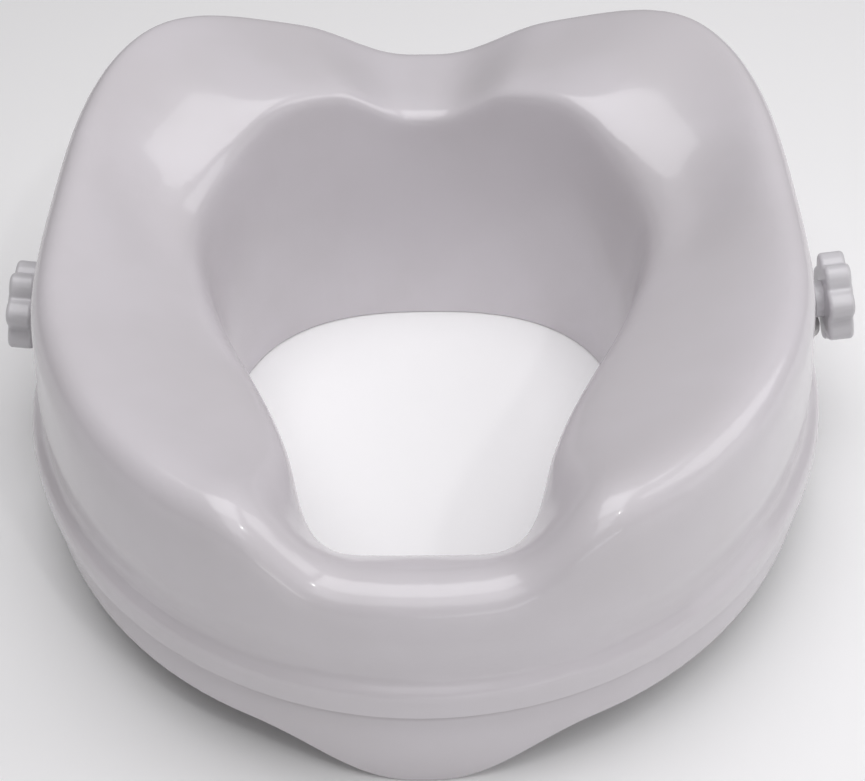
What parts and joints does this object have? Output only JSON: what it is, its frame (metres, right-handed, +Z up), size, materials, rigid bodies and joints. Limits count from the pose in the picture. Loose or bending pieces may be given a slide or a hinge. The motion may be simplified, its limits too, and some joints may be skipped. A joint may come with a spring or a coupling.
{
  "type": "raised toilet seat",
  "caption": "Contoured ring that raises a toilet seat, with a funnelled opening, rear wings, front dip, splash lip and a screw clamp with a star knob on each side.",
  "frame": {"origin": "centre of the overall box, on the plane of the lowest edges", "axes": "+X to the right seen from the front, +Y to the rear, +Z up; the clamp screws lie across the seat and rise 8 degrees outwards"},
  "size_m": [0.411, 0.403, 0.1539],
  "materials": {
    "shell": "glossy moulded polypropylene",
    "knob": "glossy",
    "cap": "glossy",
    "screw": "satin",
    "bush": "machined",
    "washer": "satin",
    "clip": "spring steel",
    "bracket": "satin",
    "jaw_rubber": "matt",
    "guide": "satin",
    "fastener": "zinc plated",
    "rest_rubber": "matt"
  },
  "bodies": {
    "shell": {"seat_shell": "shell", "screw_bush_left": "bush", "screw_bush_right": "bush", "guide_plate_left": "guide", "guide_plate_right": "guide", "guide_screws_left": "fastener", "guide_screws_right": "fastener", "rest_pad_front_left": "rest_rubber", "rest_pad_front_right": "rest_rubber", "rest_pad_rear_left": "rest_rubber", "rest_pad_rear_right": "rest_rubber"},
    "jaw_left": {"clamp_bracket_left": "bracket", "jaw_pad_left": "jaw_rubber"},
    "knob_left": {"knob_left": "knob", "knob_cap_left": "cap", "clamp_screw_left": "screw", "thrust_washer_left": "washer", "retaining_ring_left": "clip"},
    "jaw_right": {"clamp_bracket_right": "bracket", "jaw_pad_right": "jaw_rubber"},
    "knob_right": {"knob_right": "knob", "knob_cap_right": "cap", "clamp_screw_right": "screw", "thrust_washer_right": "washer", "retaining_ring_right": "clip"}
  },
  "joints": [
    {"name": "jaw_slide_left", "type": "slide", "parent": "shell", "child": "jaw_left", "axis": [-0.9903, 0, 0.1392], "range_m": [-0.002, 0.02]},
    {"name": "knob_turn_left", "type": "hinge", "parent": "jaw_left", "child": "knob_left", "pos_m": [-0.1817, 0.022, 0.073], "axis": [-0.9903, 0, 0.1392], "range_deg": [-241, 2401]},
    {"name": "jaw_slide_right", "type": "slide", "parent": "shell", "child": "jaw_right", "axis": [0.9903, 0, 0.1392], "range_m": [-0.0065, 0.0155]},
    {"name": "knob_turn_right", "type": "hinge", "parent": "jaw_right", "child": "knob_right", "pos_m": [0.1817, 0.022, 0.073], "axis": [0.9903, 0, 0.1392], "range_deg": [-781, 1861]}
  ],
  "couplings": [
    {"joint": "knob_turn_left", "follows": "jaw_slide_left", "rad_per_m": 2094.4},
    {"joint": "knob_turn_right", "follows": "jaw_slide_right", "rad_per_m": 2094.4}
  ]
}
